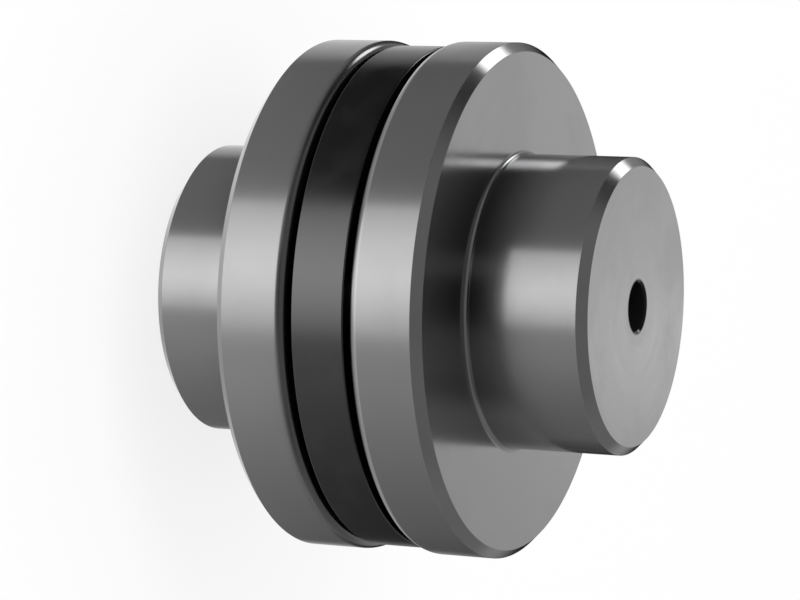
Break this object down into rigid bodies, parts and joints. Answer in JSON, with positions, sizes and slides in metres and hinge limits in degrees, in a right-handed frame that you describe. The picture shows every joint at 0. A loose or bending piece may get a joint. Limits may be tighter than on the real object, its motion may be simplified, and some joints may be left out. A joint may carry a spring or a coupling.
{
  "type": "disc coupling",
  "caption": "Elastic disc coupling joining shafts end to end: turned steel flanged hubs with plain pilot bores, and a black rubber disc held between the flanges.",
  "frame": {"origin": "centre of the lower hub's end face, on which the coupling stands", "axes": "+Z along the shaft axis, from the lower hub to the upper hub; +X through one pin in the lower hub"},
  "size_m": [0.105, 0.105, 0.0936],
  "materials": {
    "turned_steel": "fine turned, lightly oiled",
    "black_rubber": "moulded, semi-gloss",
    "ground_steel": "ground",
    "sleeve_steel": "turned, blackened"
  },
  "bodies": {
    "root": {"lower_hub": "turned_steel", "upper_hub": "turned_steel", "elastic_disc": "black_rubber", "lower_pin_1": "ground_steel", "lower_pin_2": "ground_steel", "lower_pin_3": "ground_steel", "lower_pin_4": "ground_steel", "lower_pin_5": "ground_steel", "lower_pin_6": "ground_steel", "upper_pin_1": "ground_steel", "upper_pin_2": "ground_steel", "upper_pin_3": "ground_steel", "upper_pin_4": "ground_steel", "upper_pin_5": "ground_steel", "upper_pin_6": "ground_steel", "sleeve_1": "sleeve_steel", "sleeve_2": "sleeve_steel", "sleeve_3": "sleeve_steel", "sleeve_4": "sleeve_steel", "sleeve_5": "sleeve_steel", "sleeve_6": "sleeve_steel", "sleeve_7": "sleeve_steel", "sleeve_8": "sleeve_steel", "sleeve_9": "sleeve_steel", "sleeve_10": "sleeve_steel", "sleeve_11": "sleeve_steel", "sleeve_12": "sleeve_steel"}
  },
  "joints": []
}
